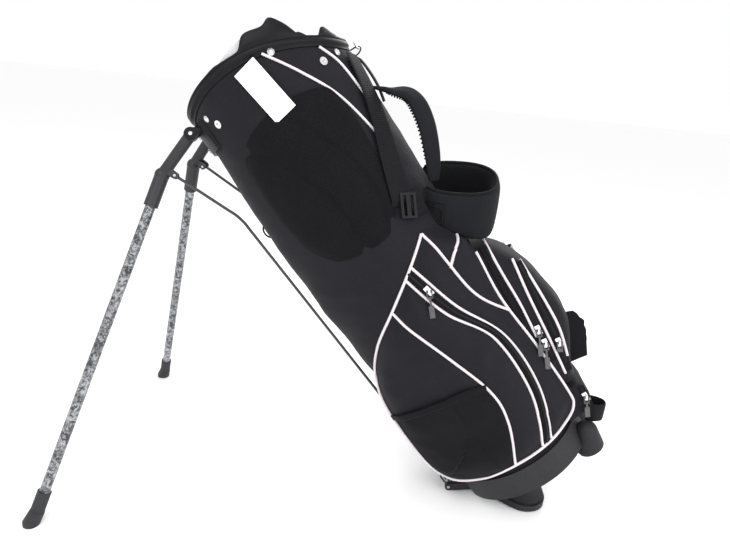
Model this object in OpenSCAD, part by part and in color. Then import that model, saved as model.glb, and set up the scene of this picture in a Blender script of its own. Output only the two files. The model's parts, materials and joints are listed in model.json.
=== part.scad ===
// Golf stand bag, leaning on its two deployed legs.
// Row frame: +Z up, X towards the spine side of the bag, legs towards -X.
// Origin: on the ground, straight below the hinge of the base pedal, in the middle plane.
// The bag itself is drawn in its own frame (t towards the spine, y across, s along the axis
// from the underside of the boot) and is then leaned back by the module bag().

/* [Bag body] */
// Lean of the bag away from upright, degrees
lean = 40; // [38:0.5:42]
// Half width of the tube at the boot, along t
base_r = 116; // [112:1:120]
// Half width of the tube at the cuff, along t
top_r = 133; // [130:1:138]
// Width across divided by width along t
oval_ratio = 0.86; // [0.82:0.01:0.9]
// Length of the tube from the underside of the boot to the cuff seam
body_len = 800; // [790:5:810]
// Thickness of the padded tube wall
wall = 3; // [2:0.5:4]

/* [Cuff] */
// Height of the cuff rim above its seam
cuff_rise = 30; // [26:1:36]
// Radius of the arched cuff seam, seen from the side
seam_r = 260; // [250:2:270]
// Number of club wells along the bag
well_rows = 3; // [3:1:3]

/* [Base] */
// Height of the boot wall
boot_h = 46; // [40:1:52]
// Height of the pedal hinge above the sole of the pedal
hinge_h = 26; // [25:0.5:28]
// Thickness of the pedal plate
pedal_t = 19; // [14:1:20]

/* [Stand] */
// Distance of the feet from the pedal hinge, along -X
foot_back = 715; // [700:5:730]
// Half of the distance between the feet
foot_spread = 242; // [230:2:250]
// Half of the distance between the leg pivots
pivot_spread = 56; // [54:1:60]
// Outer diameter of the leg tubes
tube_d = 16; // [15:0.5:17]
// Diameter of the actuator rods
rod_d = 5; // [4:0.5:5.5]

/* [Pockets] */
// How far the side pockets stand out from the tube
side_pocket = 18; // [16:1:24]
// How far the ball pocket stands out from the tube
ball_pocket_out = 68; // [60:1:72]

/* [Hidden] */

// Clearances: gap leaves sewn neighbours apart, run is the radial play of a turning fit.
gap = 0.6;
run = 0.05;
press = 0.01;

// Pedal hinge in the bag frame: t, s
hinge_t = -90;
hinge_s = 4;
hinge_pin_r = 4;
// Slot in the leg side of the boot for the nose of the pedal
notch_half = 42;

// Vector helpers
function unit(v) = v / norm(v);
function turn_to(v) = [0, acos(v[2] / norm(v)), atan2(v[1], v[0])];
// From the bag frame to the row frame
function row(p) = [(p[0] - hinge_t) * cos(lean) - (p[2] - hinge_s) * sin(lean),
    p[1], (p[0] - hinge_t) * sin(lean) + (p[2] - hinge_s) * cos(lean) + hinge_h];
// Rodrigues rotation of v about the unit axis k by a degrees
function spin(v, k, a) = v * cos(a) + cross(k, v) * sin(a) + k * (k * v) * (1 - cos(a));

// Half width of the tube along t, at a height s
function body_r(s) = base_r + (top_r - base_r) * s / body_len;
// The cuff seam is an arc in the side view, highest over this point of the tube
seam_t = -32;
seam_s = body_len + 19 - seam_r;

module bag() translate([0, 0, hinge_h]) rotate([0, -lean, 0])
    translate([-hinge_t, 0, -hinge_s]) children();

module oval(r) scale([1, oval_ratio]) circle(r, $fn = 72);

// A slice of the tube, grown outwards by g
module tube_slice(s0, s1, g) translate([0, 0, s0])
    linear_extrude(height = s1 - s0, scale = (body_r(s1) + g) / (body_r(s0) + g)) oval(body_r(s0) + g);

// A ring of the tube wall between two growths
module tube_ring(s0, s1, g_in, g_out) difference() {
    tube_slice(s0, s1, g_out);
    tube_slice(s0 - 1, s1 + 1, g_in);
}

// Everything that lies less than h above the arched cuff seam
module below_seam(h) translate([seam_t, 0, seam_s]) rotate([90, 0, 0])
    cylinder(h = 400, r = seam_r + h, center = true, $fn = 180);

// Everything that lies more than h above the arched cuff seam
module above_seam(h) difference() {
    translate([-200, -190, 640]) cube([400, 380, 300]);
    below_seam(h);
}

// Puts children on the tube wall, grown by g, at an angle and a height, with +Z outwards
module on_wall(angle, s, g) translate([(body_r(s) + g) * cos(angle),
    (body_r(s) + g) * oval_ratio * sin(angle), s])
    rotate([0, 90, atan2(sin(angle), oval_ratio * cos(angle))]) children();

// The point on the leg side of the wall, grown by g, at a given y and height
function leg_side(y, s, g) =
    [-(body_r(s) + g) * sqrt(1 - pow(y / (oval_ratio * (body_r(s) + g)), 2)), y, s];

// A straight round bar between two points
module bar(p, q, r) translate(p) rotate(turn_to(q - p)) cylinder(h = norm(q - p), r = r, $fn = 32);

// A disc of thickness h centred on p, with its axis along v
module disc(p, v, r, h) translate(p) rotate(turn_to(v)) cylinder(h = h, r = r, center = true, $fn = 48);

// ---- Base ----

module boot() color([0.24, 0.24, 0.25]) bag() difference() {
    union() {
        difference() {
            tube_slice(0, boot_h, 4.5);
            tube_slice(5, boot_h + 1, gap);
            // Slot for the pedal
            translate([-200, -notch_half, -1]) cube([200 + hinge_t + 14, 2 * notch_half, 80]);
        }
        // Cheeks that hold the hinge pin
        for (side = [-1, 1])
            translate([hinge_t, side * (notch_half + 4), hinge_s + 2]) cube([24, 8, 16], center = true);
    }
    translate([hinge_t, 0, hinge_s]) rotate([90, 0, 0])
        cylinder(h = 120, r = hinge_pin_r + press, center = true, $fn = 48);
}

// Two lobes on the spine side that stand level with the folded pedal
module rear_feet() color([0.24, 0.24, 0.25]) bag() for (side = [-1, 1]) difference() {
    hull() {
        translate([112, side * 38, hinge_s - hinge_h + 4]) sphere(24, $fn = 32);
        translate([122, side * 42, 14]) sphere(18, $fn = 32);
    }
    tube_slice(-0.3, boot_h + 20, 4.5 + gap);
    translate([0, -200, hinge_s - hinge_h - 100]) cube([300, 400, 100]);
    tube_slice(-40, 60, -30);
}

module pedal_hinge_pin() color([0.5, 0.5, 0.52]) bag()
    translate([hinge_t, 0, hinge_s]) rotate([90, 0, 0])
        cylinder(h = 2 * notch_half + 16, r = hinge_pin_r, center = true, $fn = 48);

// Point of the pedal where the rods hook on, in the bag frame
rod_reach = 61.5;
rod_rise = 26;
rod_y = 16;
hook_bag = [hinge_t - rod_reach * cos(rod_rise), 0, hinge_s + rod_reach * sin(rod_rise)];
hook = row(hook_bag);
hook_pin_r = 2.5;

module pedal_outline() hull() {
    for (side = [-1, 1]) translate([76, side * 24]) circle(40, $fn = 48);
    translate([8, 0]) circle(24, $fn = 32);
}

module pedal() color([0.26, 0.26, 0.27]) difference() {
    union() {
        linear_extrude(height = 5) offset(delta = -4) pedal_outline();
        translate([0, 0, 4]) linear_extrude(height = pedal_t - 8) pedal_outline();
        translate([0, 0, pedal_t - 5]) linear_extrude(height = 5) offset(delta = -4) pedal_outline();
        translate([0, 0, hinge_h]) rotate([90, 0, 0])
            cylinder(h = 2 * notch_half - 4, r = 10, center = true, $fn = 48);
        translate([-9, -30, 6]) cube([18, 60, hinge_h - 10]);
        for (y = [-32, 0, 32]) hull() {
            translate([0, y, hinge_h]) rotate([90, 0, 0])
                cylinder(h = y == 0 ? 14 : 8, r = 9, center = true, $fn = 32);
            translate([hook[0], y, hook[2]]) rotate([90, 0, 0])
                cylinder(h = y == 0 ? 14 : 8, r = 6.5, center = true, $fn = 32);
        }
    }
    translate([0, 0, hinge_h]) rotate([90, 0, 0])
        cylinder(h = 200, r = hinge_pin_r + run, center = true, $fn = 48);
    translate(hook) rotate([90, 0, 0])
        cylinder(h = 200, r = hook_pin_r + press, center = true, $fn = 48);
    translate([-200, -200, -100]) cube([400, 400, 100]);
}

module pedal_cross_pin() color([0.6, 0.6, 0.62]) translate(hook) rotate([90, 0, 0])
    cylinder(h = 72, r = hook_pin_r, center = true, $fn = 32);

// ---- Tube, frame and cuff ----

module body_shell() color([0.08, 0.08, 0.1]) bag() difference() {
    intersection() {
        tube_ring(5 + gap, 830, -wall, 0);
        union() {
            below_seam(0);
            translate([-200, -200, 0]) cube([400, 400, 700]);
        }
    }
    translate([-200, -notch_half - 9, -1]) cube([200 + hinge_t, 2 * notch_half + 18, 62]);
}

// A straight stay just inside the wall, at an angle round the tube
module stay(angle, r, s0, s1) {
    inset = wall + r + 1.5;
    p = [(body_r(s0) - inset) * cos(angle), (body_r(s0) - inset) * oval_ratio * sin(angle), s0];
    q = [(body_r(s1) - inset) * cos(angle), (body_r(s1) - inset) * oval_ratio * sin(angle), s1];
    bar(p, q, r);
}

module spine_stay() color([0.16, 0.16, 0.17]) bag() stay(0, 5, 6, 696);

module side_stays() color([0.16, 0.16, 0.17]) bag() for (angle = [-75, 75]) stay(angle, 4, 6, 696);

module cuff() color([0.1, 0.1, 0.11]) bag() difference() {
    union() {
        intersection() {
            tube_ring(700, 860, -wall - 5, 3);
            above_seam(gap);
            below_seam(cuff_rise);
        }
        // Skirt that the fabric is riveted to
        intersection() {
            tube_ring(722, 860, -wall - 5, -wall - 0.8);
            below_seam(8);
        }
    }
    // Scallops on both sides of the rim
    for (side = [-1, 1]) {
        translate([0, 0, 862]) rotate([0, 90, side * 93]) cylinder(h = 200, r = 37, $fn = 64);
        translate([0, 0, 826]) rotate([0, 90, side * 40]) cylinder(h = 200, r = 36, $fn = 64);
    }
}

module cuff_liner() color([0.75, 0.75, 0.76]) bag() intersection() {
    tube_ring(740, 860, -wall - 7.5, -wall - 5 - gap);
    below_seam(cuff_rise - 3);
}

divider_top = 756;
divider_bottom = 700;
divider_t = 8;
module long_divider() color([0.6, 0.6, 0.62]) bag() intersection() {
    translate([-150, -divider_t / 2, divider_bottom]) cube([300, divider_t, divider_top - divider_bottom]);
    tube_slice(divider_bottom - 1, divider_top + 1, -wall - 8.5);
}

module cross_dividers() color([0.6, 0.6, 0.62]) bag() intersection() {
    for (side = [-1, 1], i = [1 : well_rows - 1])
        translate([(i - well_rows / 2) * 80 - divider_t / 2, side > 0 ? divider_t / 2 + gap : -150, divider_bottom])
            cube([divider_t, 150 - divider_t / 2 - gap, divider_top - divider_bottom]);
    tube_slice(divider_bottom - 1, divider_top + 1, -wall - 8.5);
}

module hip_pad() color([0.09, 0.09, 0.1]) bag() intersection() {
    difference() {
        tube_slice(495, 712, 9);
        tube_slice(490, 725, gap);
    }
    translate([-70, -200, 490]) cube([130, 190, 240]);
}

// ---- Leg bracket and legs, drawn on the near side (y < 0) and mirrored ----

pivot = [-134, -pivot_spread, 788];
elbow = pivot + [-74, -10, -23];
foot_row = [-foot_back, -foot_spread, 0];
pivot_row = row(pivot);
elbow_row = row(elbow);
down = unit([0, 0, 0] - (row([0, 0, 1]) - row([0, 0, 0])));
ankle_row = foot_row + [0, 0, 8];
leg_dir = unit(ankle_row - elbow_row);
// The leg turns about the axis that brings the tube parallel to the bag
swing_axis = unit(cross(leg_dir, down));
swing = acos(leg_dir * down);
pivot_pin_r = 3;
boss_half = 8;

module near_far(far) if (far) mirror([0, 1, 0]) children(); else children();

plate_t = 6;
// One clevis of the bracket: two cheeks on the swing axis and a root against the cuff
module clevis() {
    for (side = [-1, 1]) hull() {
        disc(pivot_row + swing_axis * side * (boss_half + 2.8), swing_axis, 9, 4.6);
        translate(row(leg_side(-pivot_spread - side * 11, 784, 5))) sphere(4, $fn = 24);
    }
}

module leg_bracket() color([0.1, 0.1, 0.11]) difference() {
    union() {
        for (far = [false, true]) near_far(far) clevis();
        // Plate curved round the leg side of the tube
        bag() intersection() {
            difference() {
                tube_slice(740, 800, plate_t);
                tube_slice(735, 805, gap);
            }
            translate([-200, -76, 745]) cube([100, 152, 48]);
        }
    }
    for (far = [false, true]) near_far(far) {
        disc(pivot_row, swing_axis, pivot_pin_r + press, 80);
        // Room for the boss of the leg as it swings
        disc(pivot_row, swing_axis, 13.5, 2 * boss_half + 0.6);
    }
}

module leg_pivot_pins() color([0.75, 0.75, 0.77]) for (far = [false, true]) near_far(far)
    disc(pivot_row, swing_axis, pivot_pin_r, 2 * boss_half + 12);

module bracket_screws() color([0.7, 0.7, 0.72]) bag() for (side = [-1, 1], s = [756, 782])
    on_wall(180 - side * 10, s, plate_t + 0.15) cylinder(h = 2.5, r = 4, $fn = 32);

sleeve_len = 52;
sleeve_r = 11;
arm_r = 9;
rod_top = pivot + [-58, -8, -35];
rod_top_row = row(rod_top);
knee = [-150, -56, 642];
knee_row = row(knee);
hook_near = hook + [0, -rod_y, 0];

// Folded positions, from the swing of the leg and of the pedal
function folded_leg(p) = pivot_row + spin(p - pivot_row, swing_axis, swing);
rod_top_folded = folded_leg(rod_top_row);
hook_arm = hook_near - [0, 0, hinge_h];
hook_folded = spin(hook_arm, [0, 1, 0], -lean) + [0, 0, hinge_h];
upper_len = norm(knee_row - rod_top_row);
lower_len = norm(hook_near - knee_row);
reach = norm(hook_folded - rod_top_folded);
along = (reach * reach + upper_len * upper_len - lower_len * lower_len) / (2 * reach);
stand_off = sqrt(max(0, upper_len * upper_len - along * along));
rod_line = unit(hook_folded - rod_top_folded);
inward = row([1, 0, 0]) - row([0, 0, 0]);
knee_folded = rod_top_folded + rod_line * along
    + unit(inward - rod_line * (rod_line * inward)) * stand_off;

// Axes of the rod's two hinges, in the row frame at rest
upper_dir = unit(knee_row - rod_top_row);
upper_dir_folded = spin(unit(knee_folded - rod_top_folded), swing_axis, -swing);
rod_axis = unit(cross(upper_dir, upper_dir_folded));
rod_turn = acos(upper_dir * upper_dir_folded);
lower_dir = unit(hook_near - knee_row);
lower_dir_folded = spin(spin(unit(hook_folded - knee_folded), swing_axis, -swing), rod_axis, -rod_turn);
knee_axis = unit(cross(lower_dir, lower_dir_folded));
knee_turn = acos(lower_dir * lower_dir_folded);

rod_pin_r = 2;
eye_r = 5;
eye_half = 2.6;

module leg_elbow(far) color([0.09, 0.09, 0.1]) near_far(far) difference() {
    union() {
        disc(pivot_row, swing_axis, 10.5, 2 * boss_half);
        bar(pivot_row, elbow_row, arm_r);
        translate(elbow_row) sphere(sleeve_r + 0.6, $fn = 48);
        bar(elbow_row, elbow_row + leg_dir * sleeve_len, sleeve_r);
        // Fork for the top of the actuator rod
        for (side = [-1, 1]) hull() {
            disc(rod_top_row + rod_axis * side * (eye_half + 2.2), rod_axis, 5.5, 3);
            disc(elbow_row + (pivot_row - elbow_row) * 0.14 + rod_axis * side * (eye_half + 2.2), rod_axis, 6, 3);
        }
    }
    disc(pivot_row, swing_axis, pivot_pin_r + run, 40);
    disc(rod_top_row, rod_axis, rod_pin_r + press, 40);
    // Socket for the tube
    bar(elbow_row + leg_dir * 6, elbow_row + leg_dir * (sleeve_len + 5), tube_d / 2 + press);
    // Room for the bracket cheeks beside the boss
    for (side = [-1, 1])
        disc(pivot_row + swing_axis * side * (boss_half + 7.2), swing_axis, 16, 14);
}

foot_h = 46;
module leg_tube(far) color([0.5, 0.5, 0.52]) near_far(far) difference() {
    bar(elbow_row + leg_dir * 7, ankle_row - leg_dir * 4, tube_d / 2);
    bar(elbow_row, ankle_row, tube_d / 2 - 1.2);
}

module leg_foot(far) color([0.12, 0.12, 0.13]) near_far(far) difference() {
    union() {
        hull() {
            translate(foot_row + [-4, -2, 0]) cylinder(h = 6, r = 12.5, $fn = 32);
            translate(ankle_row - leg_dir * 14) rotate(turn_to(leg_dir)) cylinder(h = 4, r = 11, $fn = 32);
        }
        bar(ankle_row - leg_dir * foot_h, ankle_row - leg_dir * 8, 10.4);
    }
    bar(ankle_row - leg_dir * (foot_h + 2), ankle_row - leg_dir * 3.8, tube_d / 2 + press);
    translate([-foot_back - 100, -foot_spread - 100, -60]) cube([200, 200, 60]);
}

module leg_rod_pin(far) color([0.7, 0.7, 0.72]) near_far(far)
    disc(rod_top_row, rod_axis, rod_pin_r, 2 * eye_half + 8);

knuckle_r = 3.8;
module leg_rod_upper(far) color([0.12, 0.12, 0.13]) near_far(far) difference() {
    union() {
        disc(rod_top_row, rod_axis, eye_r, 2 * eye_half);
        bar(rod_top_row + upper_dir * 3.5, knee_row - upper_dir * 7, rod_d / 2);
        for (side = [-1, 1]) hull() {
            disc(knee_row + knee_axis * side * 3.9, knee_axis, 3.4, 2);
            disc(knee_row - upper_dir * 8 + knee_axis * side * 2.4, knee_axis, 2.4, 1.6);
        }
        disc(knee_row, knee_axis, 1.4, 9.6);
    }
    disc(rod_top_row, rod_axis, rod_pin_r + run, 20);
}

module leg_rod_lower(far) color([0.12, 0.12, 0.13]) near_far(far) {
    difference() {
        union() {
            disc(knee_row, knee_axis, knuckle_r - 0.4, 3.4);
            bar(knee_row + lower_dir * 2.6, hook_near - lower_dir * 20, rod_d / 2);
        }
        disc(knee_row, knee_axis, 1.4 + run, 10);
    }
    // Long eye in which the cross pin slides
    difference() {
        hull() {
            disc(hook_near, [0, 1, 0], 8.5, 5);
            disc(hook_near - lower_dir * 14, [0, 1, 0], 8.5, 5);
        }
        hull() {
            disc(hook_near, [0, 1, 0], 5.2, 6);
            disc(hook_near - lower_dir * 12, [0, 1, 0], 5.2, 6);
        }
    }
}

module elbow_near() leg_elbow(false);
module elbow_far() leg_elbow(true);
module tube_near() leg_tube(false);
module tube_far() leg_tube(true);
module foot_near() leg_foot(false);
module foot_far() leg_foot(true);
module rod_pin_near() leg_rod_pin(false);
module rod_pin_far() leg_rod_pin(true);
module rod_upper_near() leg_rod_upper(false);
module rod_upper_far() leg_rod_upper(true);
module rod_lower_near() leg_rod_lower(false);
module rod_lower_far() leg_rod_lower(true);

// ---- Pockets ----

// Outline of a side pocket seen from the side, t and s
module side_outline() polygon([[84, 462], [30, 420], [-60, 362], [-108, 325], [-130, 285], [-138, 235],
    [-138, 125], [-128, 82], [-105, 57], [-60, 51], [60, 51], [100, 57], [118, 110], [116, 250], [102, 390]]);

// Cross-section of a side pocket at its foot, with the tube still inside it
module side_section() hull() {
    translate([-96, -84]) circle(42, $fn = 48);
    translate([64, -66 - side_pocket]) circle(40, $fn = 48);
    translate([0, -40]) circle(60, $fn = 48);
}

module pocket_side(far) color([0.08, 0.08, 0.1]) bag() near_far(far) intersection() {
    difference() {
        translate([0, 0, 50]) linear_extrude(height = 420, scale = 0.93) side_section();
        tube_slice(45, 475, gap);
    }
    translate([0, -45, 0]) rotate([90, 0, 0]) linear_extrude(height = 160) side_outline();
}

module side_pocket_near() pocket_side(false);
module side_pocket_far() pocket_side(true);

// Mesh pocket sewn on the near side pocket
module bottle_pocket() color([0.1, 0.1, 0.11]) bag() intersection() {
    difference() {
        translate([0, -7, 66]) linear_extrude(height = 164, scale = 0.97) side_section();
        translate([0, -gap, 50]) linear_extrude(height = 420, scale = 0.93) side_section();
    }
    translate([-88, -200, 60]) cube([112, 130, 200]);
}

// Ball pocket on the spine, with a taper towards its top
module ball_pocket() color([0.08, 0.08, 0.1]) bag() difference() {
    translate([0, 62, 0]) rotate([90, 0, 0]) linear_extrude(height = 124)
        polygon([[118, 388], [150, 384], [178, 345], [190, 290], [base_r + ball_pocket_out + 14, 215],
            [base_r + ball_pocket_out - 6, 150], [168, 108], [118, 104]]);
    tube_slice(50, 450, gap);
}

// Low accessory pocket under the ball pocket
module small_pocket() color([0.08, 0.08, 0.1]) bag() difference() {
    translate([0, 55, 0]) rotate([90, 0, 0]) linear_extrude(height = 110)
        polygon([[110, 102], [160, 102], [162, 70], [150, 52], [110, 52]]);
    tube_slice(30, 150, gap);
}

// ---- Zipper sliders and pulls ----

// Children placed at p with their X along dir and their Z along out
module placed(p, dir, out) {
    side = cross(out, dir);
    multmatrix([[dir[0], side[0], out[0], p[0]], [dir[1], side[1], out[1], p[1]],
        [dir[2], side[2], out[2], p[2]]]) children();
}

// Height of the bail pin over the back of the slider
bail_h = 4.6;

// A slider body along the zip with its bail turned to the pull
module slider(p, dir, hang, out) {
    placed(p, dir, out) translate([-9, -4, 0]) cube([16, 8, 3]);
    placed(p, hang, out) difference() {
        translate([-3.5, -1.5, 2]) cube([7, 3, 5]);
        translate([0, 0, bail_h]) rotate([90, 0, 0]) cylinder(h = 8, r = 1.5 + run, center = true, $fn = 24);
    }
}

// A pull hanging from the bail: a pin through the bail, two arms, a cord of length neck and a tab
module pull(p, hang, out, neck, len) placed(p + out * bail_h, hang, out) {
    rotate([90, 0, 0]) cylinder(h = 9, r = 1.5, center = true, $fn = 24);
    for (k = [-1, 1]) translate([0, k * 3.6 - 0.9, -1.5]) cube([9, 1.8, 3]);
    translate([8, -4.5, -1.5]) cube([2.5, 9, 3]);
    translate([10, -1.5, -1.5]) cube([neck + 0.5, 3, 3]);
    translate([10 + neck, -4, -1.5]) cube([len, 8, 3]);
}

// Zips: position of the slider, running direction and outward direction, in the bag frame
near_out = [0, -1, 0];
down_s = [0, 0, -1];
hang_near = unit([-0.42, 0, -0.9]);
near_zip = [45, -119, 398];
near_zip_dir = unit([0.23, 0, -0.97]);
ball_zip_dir = unit([-0.1, 0, -1]);
ball_zip_upper = [146, -62 - gap, 231];
ball_zip_lower = [144, -62 - gap, 205];
wallet_zip = [163, -62 - gap, 195];
small_zip = [152, -55 - gap, 82];

module pocket_slider() color([0.75, 0.75, 0.77]) bag() slider(near_zip, near_zip_dir, hang_near, near_out);
module pocket_pull() color([0.2, 0.2, 0.21]) bag() pull(near_zip, hang_near, near_out, 13, 19);
module ball_slider_upper() color([0.75, 0.75, 0.77]) bag()
    slider(ball_zip_upper, ball_zip_dir, hang_near, near_out);
module ball_pull_upper() color([0.2, 0.2, 0.21]) bag() pull(ball_zip_upper, hang_near, near_out, 14, 20);
module ball_slider_lower() color([0.75, 0.75, 0.77]) bag()
    slider(ball_zip_lower, ball_zip_dir, hang_near, near_out);
module ball_pull_lower() color([0.2, 0.2, 0.21]) bag() pull(ball_zip_lower, hang_near, near_out, 14, 20);
module wallet_slider() color([0.75, 0.75, 0.77]) bag() slider(wallet_zip, ball_zip_dir, hang_near, near_out);
module wallet_pull() color([0.2, 0.2, 0.21]) bag() pull(wallet_zip, hang_near, near_out, 0, 5);
module small_slider() color([0.75, 0.75, 0.77]) bag() slider(small_zip, down_s, hang_near, near_out);
module small_pull() color([0.2, 0.2, 0.21]) bag() pull(small_zip, hang_near, near_out, 8, 18);

// ---- Straps and small parts ----

// Arched pad between the spine handle and the ladder buckle
module arch_strap() color([0.1, 0.1, 0.11]) bag() translate([0, -11, 0]) rotate([90, 0, 0])
    linear_extrude(height = 34) polygon([[137, 690], [160, 679], [184, 659], [192, 636], [190, 612], [178, 580],
        [160, 554], [143, 538], [151, 560], [167, 590], [177, 614], [178, 634], [172, 650], [154, 666], [139, 675]]);

// Wide padded loop on the spine side, both ends sewn to the tube
module loop_strap() color([0.09, 0.09, 0.1]) difference() {
    translate(row([149, -8, 476])) rotate([19, -3, 0]) difference() {
        translate([0, 0, -55]) scale([1, 0.9, 1]) cylinder(h = 88, r = 66, $fn = 48);
        translate([0, 0, -57]) scale([1, 0.9, 1]) cylinder(h = 92, r = 55, $fn = 48);
        translate([-80, -80, -33]) rotate([0, 8.5, 0]) translate([-20, 0, -60]) cube([250, 160, 60]);
    }
    bag() tube_slice(400, 650, 14);
}

// Flat strap from the top of the spine down to the buckle on the near side
module strap_webbing() color([0.07, 0.07, 0.08]) bag() difference() {
    for (k = [0, 1]) hull() for (step = [k, k + 1]) on_wall(-16 - 15 * step, 738 - 94 * step, 4)
        cube([4, 34, 3], center = true);
    tube_slice(500, 780, gap);
}

// Ladder-lock buckle with two slots for the strap, its long side upright
module ladder_buckle() color([0.11, 0.11, 0.12]) bag() on_wall(-50, 518, 4) rotate([0, 0, 58]) difference() {
    translate([-13, -19, 0]) cube([26, 38, 5]);
    for (x = [-8.5, 3.5]) translate([x, -15.5, -1]) cube([5, 31, 7]);
}

module spine_handle() color([0.08, 0.08, 0.09]) bag() translate([0, 16, 0]) rotate([90, 0, 0])
    linear_extrude(height = 24) polygon([[134, 735], [141, 741], [146, 730], [145, 662], [140, 655], [134, 662],
        [138, 667], [140, 725], [137, 732]]);

ring_pos = [143, 35, 752];
ring_r = 1.8;
module d_ring_tab() color([0.07, 0.07, 0.08]) bag() difference() {
    translate([130, 28, 744]) cube([17, 14, 13]);
    translate(ring_pos) rotate([90, 0, 0]) cylinder(h = 40, r = ring_r + run, center = true, $fn = 32);
}

module d_ring() color([0.75, 0.75, 0.77]) bag() translate(ring_pos) {
    rotate([90, 0, 0]) cylinder(h = 24, r = ring_r, center = true, $fn = 32);
    rotate([90, 0, 90]) rotate_extrude(angle = 180, $fn = 48) translate([12, 0]) circle(ring_r, $fn = 32);
    for (side = [-1, 1]) translate([0, side * 12, 0]) sphere(ring_r, $fn = 32);
}

module grab_loop() color([0.08, 0.08, 0.09]) difference() {
    translate([0, -17, 184]) linear_extrude(height = 32) difference() {
        hull() for (x = [120, 168]) translate([x, 0]) circle(18, $fn = 48);
        hull() for (x = [118, 168]) translate([x, 0]) circle(15, $fn = 48);
    }
    bag() tube_slice(-30, 70, 14);
    bag() translate([90, -60, 51]) cube([80, 120, 60]);
    bag() for (side = [-1, 1]) hull() {
        translate([112, side * 38, hinge_s - hinge_h + 4]) sphere(25, $fn = 32);
        translate([122, side * 42, 14]) sphere(19, $fn = 32);
    }
}

module glove_tab() color([0.07, 0.07, 0.08]) bag() translate([0, -10, 0]) rotate([90, 0, 0])
    linear_extrude(height = 4) polygon([[201, 214], [209, 208], [214, 184], [207, 162], [191, 122], [177, 126],
        [186, 150], [196, 180]]);

// Domed rivets through the fabric into the cuff skirt: angle, height
module cuff_rivets() color([0.78, 0.78, 0.8]) bag() for (side = [-1, 1])
    for (p = [[69, 801], [132, 787], [27, 756]]) on_wall(side * p[0], p[1], gap) {
        cylinder(h = 1.2, r = 5, $fn = 32);
        translate([0, 0, 1.2]) cylinder(h = 1.4, r1 = 4.6, r2 = 2.6, $fn = 32);
    }

// Ring snaps for the rain hood: angle, height
module hood_snaps() color([0.75, 0.75, 0.77]) bag() for (side = [-1, 1])
    for (p = [[43, 754], [125, 770]]) on_wall(side * p[0], p[1], gap) difference() {
        cylinder(h = 2.4, r = 6, $fn = 32);
        translate([0, 0, 0.8]) cylinder(h = 4, r = 2.6, $fn = 32);
    }

module blank_label() color([0.95, 0.95, 0.95]) bag() translate([13, -118, 764])
    rotate([0, -7.5, 0]) cube([37, 1, 84], center = true);

// Small webbing tab on the leg side that keeps the rods close to the tube
module rod_tether() color([0.07, 0.07, 0.08]) bag() translate([-137, 0, 600]) cube([6, 16, 20], center = true);

boot();
rear_feet();
pedal_hinge_pin();
pedal();
pedal_cross_pin();
body_shell();
spine_stay();
side_stays();
cuff();
cuff_liner();
long_divider();
cross_dividers();
hip_pad();
leg_bracket();
bracket_screws();
leg_pivot_pins();
elbow_near();
tube_near();
foot_near();
rod_pin_near();
rod_upper_near();
rod_lower_near();
elbow_far();
tube_far();
foot_far();
rod_pin_far();
rod_upper_far();
rod_lower_far();
side_pocket_near();
side_pocket_far();
bottle_pocket();
ball_pocket();
small_pocket();
pocket_slider();
pocket_pull();
ball_slider_upper();
ball_pull_upper();
ball_slider_lower();
ball_pull_lower();
wallet_slider();
wallet_pull();
small_slider();
small_pull();
arch_strap();
loop_strap();
strap_webbing();
ladder_buckle();
spine_handle();
d_ring_tab();
d_ring();
grab_loop();
glove_tab();
cuff_rivets();
hood_snaps();
blank_label();
rod_tether();
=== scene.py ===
"""Looks of the golf stand bag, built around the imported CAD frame."""
import bpy
import json
import math
import numpy as np
from mathutils import Matrix, Vector


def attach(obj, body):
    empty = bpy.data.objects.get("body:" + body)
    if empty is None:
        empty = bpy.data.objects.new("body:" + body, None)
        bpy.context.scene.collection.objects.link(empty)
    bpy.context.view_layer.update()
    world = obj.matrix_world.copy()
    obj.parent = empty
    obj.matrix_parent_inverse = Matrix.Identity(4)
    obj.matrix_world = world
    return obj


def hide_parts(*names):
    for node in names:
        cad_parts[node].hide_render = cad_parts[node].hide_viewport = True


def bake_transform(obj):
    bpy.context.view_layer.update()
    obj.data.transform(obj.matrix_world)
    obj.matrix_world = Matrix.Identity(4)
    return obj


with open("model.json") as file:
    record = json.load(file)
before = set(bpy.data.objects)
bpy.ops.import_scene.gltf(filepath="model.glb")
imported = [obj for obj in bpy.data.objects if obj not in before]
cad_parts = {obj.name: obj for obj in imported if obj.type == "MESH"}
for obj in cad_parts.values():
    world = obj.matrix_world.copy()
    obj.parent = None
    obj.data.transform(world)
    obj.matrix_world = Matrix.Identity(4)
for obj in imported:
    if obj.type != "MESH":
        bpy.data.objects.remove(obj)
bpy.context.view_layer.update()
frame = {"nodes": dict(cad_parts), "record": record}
NODES = frame["nodes"]

# ---- Bag frame: t towards the spine, y across, s along the axis; millimetres ----
LEAN = math.radians(40)
HINGE = (-90.0, 4.0, 26.0)
BASE_R, TOP_R, BODY, OVAL = 116.0, 133.0, 800.0, 0.86
SEAM_T, SEAM_R = -32.0, 260.0
SEAM_S = BODY + 19 - SEAM_R
DEG = 2.04            # millimetres of wall per degree
PILLOW = 17.0         # how far a side pocket stands out


def row(p):
    """Bag millimetres to row metres."""
    p = np.asarray(p, float)
    t, s = p[..., 0] - HINGE[0], p[..., 2] - HINGE[1]
    out = np.empty_like(p)
    out[..., 0] = t * math.cos(LEAN) - s * math.sin(LEAN)
    out[..., 1] = p[..., 1]
    out[..., 2] = t * math.sin(LEAN) + s * math.cos(LEAN) + HINGE[2]
    return out * 0.001


def radius(s):
    return BASE_R + (TOP_R - BASE_R) * s / BODY


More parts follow.
